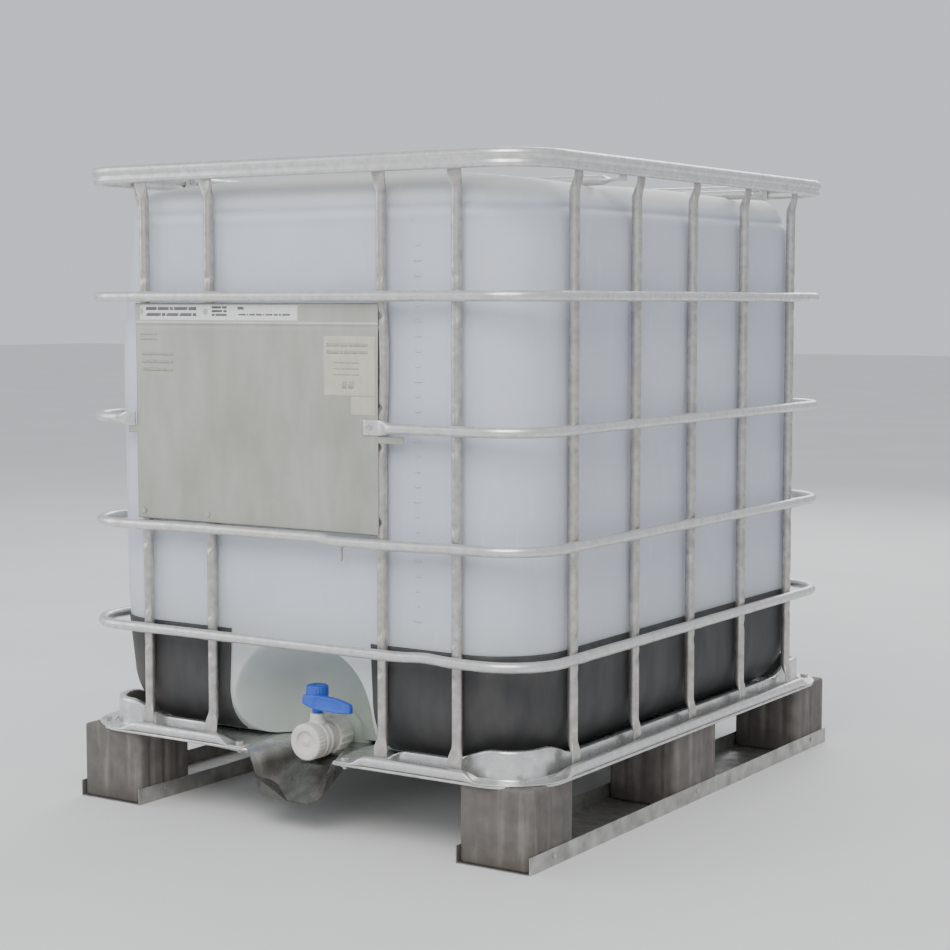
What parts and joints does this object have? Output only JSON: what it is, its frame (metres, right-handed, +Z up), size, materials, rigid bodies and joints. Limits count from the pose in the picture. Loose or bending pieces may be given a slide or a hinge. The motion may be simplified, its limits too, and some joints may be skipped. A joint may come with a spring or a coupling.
{
  "type": "intermediate bulk container",
  "caption": "Blown plastic liquid bottle in a galvanised tube cage on a pressed pan with feet and runners, with a screw lid, a recessed butterfly valve and a label plate.",
  "frame": {"origin": "on the ground under the middle of the container", "axes": "+Z up, -Y out of the valve face, +X to the right of a person who looks at the valve"},
  "size_m": [1, 1.2, 1.165],
  "materials": {
    "bottle_plastic": "translucent blown polyethylene, satin",
    "lid_plastic": "moulded, satin",
    "seal_rubber": "smooth",
    "valve_plastic": "moulded, satin",
    "disc_plastic": "moulded, satin",
    "handle_plastic": "moulded, satin",
    "guard_plastic": "matt sheet",
    "galvanised_sheet": "galvanised, pressed",
    "foot_plastic": "moulded, dusty",
    "zinc_fastener": "zinc plated",
    "galvanised_tube": "galvanised, drawn"
  },
  "bodies": {
    "container": {"bottle": "bottle_plastic", "bottom_ring": "galvanised_tube", "cage_ring_1": "galvanised_tube", "cage_ring_2": "galvanised_tube", "cage_ring_3": "galvanised_tube", "cage_ring_4": "galvanised_tube", "cross_bar_bolts": "zinc_fastener", "cross_bar_front": "galvanised_tube", "cross_bar_rear": "galvanised_tube", "foot_centre": "foot_plastic", "foot_front_left": "foot_plastic", "foot_front_right": "foot_plastic", "foot_guard": "guard_plastic", "foot_middle_left": "foot_plastic", "foot_middle_right": "foot_plastic", "foot_rear_centre": "foot_plastic", "foot_rear_left": "foot_plastic", "foot_rear_right": "foot_plastic", "label_plate": "galvanised_sheet", "pan": "galvanised_sheet", "pan_bolts": "zinc_fastener", "plate_rivets": "zinc_fastener", "runner_centre": "galvanised_sheet", "runner_left": "galvanised_sheet", "runner_right": "galvanised_sheet", "runner_screws": "zinc_fastener", "top_rim": "galvanised_tube", "union_gasket": "seal_rubber", "union_nut": "valve_plastic", "upright_front_1": "galvanised_tube", "upright_front_2": "galvanised_tube", "upright_front_3": "galvanised_tube", "upright_front_4": "galvanised_tube", "upright_left_1": "galvanised_tube", "upright_left_2": "galvanised_tube", "upright_left_3": "galvanised_tube", "upright_left_4": "galvanised_tube", "upright_left_5": "galvanised_tube", "upright_rear_1": "galvanised_tube", "upright_rear_2": "galvanised_tube", "upright_rear_3": "galvanised_tube", "upright_rear_4": "galvanised_tube", "upright_rear_5": "galvanised_tube", "upright_right_1": "galvanised_tube", "upright_right_2": "galvanised_tube", "upright_right_3": "galvanised_tube", "upright_right_4": "galvanised_tube", "upright_right_5": "galvanised_tube", "valve_body": "valve_plastic"},
    "lid_gasket": {"lid_gasket": "seal_rubber"},
    "fill_lid": {"fill_lid": "lid_plastic"},
    "valve_handle": {"handle": "handle_plastic", "handle_screw": "zinc_fastener", "stem_seals": "seal_rubber", "valve_disc": "disc_plastic", "valve_stem": "disc_plastic"},
    "cap_gasket": {"cap_gasket": "seal_rubber"},
    "outlet_cap": {"outlet_cap": "valve_plastic"}
  },
  "joints": [
    {"name": "lid_lift", "type": "slide", "parent": "container", "child": "lid_gasket", "axis": [0, 0, 1], "range_m": [0, 0.06]},
    {"name": "lid_turn", "type": "hinge", "parent": "lid_gasket", "child": "fill_lid", "pos_m": [0, 0, 1.148], "axis": [0, 0, 1], "range_deg": [0, 540]},
    {"name": "cap_pull", "type": "slide", "parent": "container", "child": "cap_gasket", "axis": [0, -1, 0], "range_m": [0, 0.04]},
    {"name": "cap_turn", "type": "hinge", "parent": "cap_gasket", "child": "outlet_cap", "pos_m": [0, -0.536, 0.151], "axis": [0, -1, 0], "range_deg": [0, 540]},
    {"name": "valve_turn", "type": "hinge", "parent": "container", "child": "valve_handle", "pos_m": [0, -0.511, 0.2], "axis": [0, 0, 1], "range_deg": [-90, 0]}
  ]
}
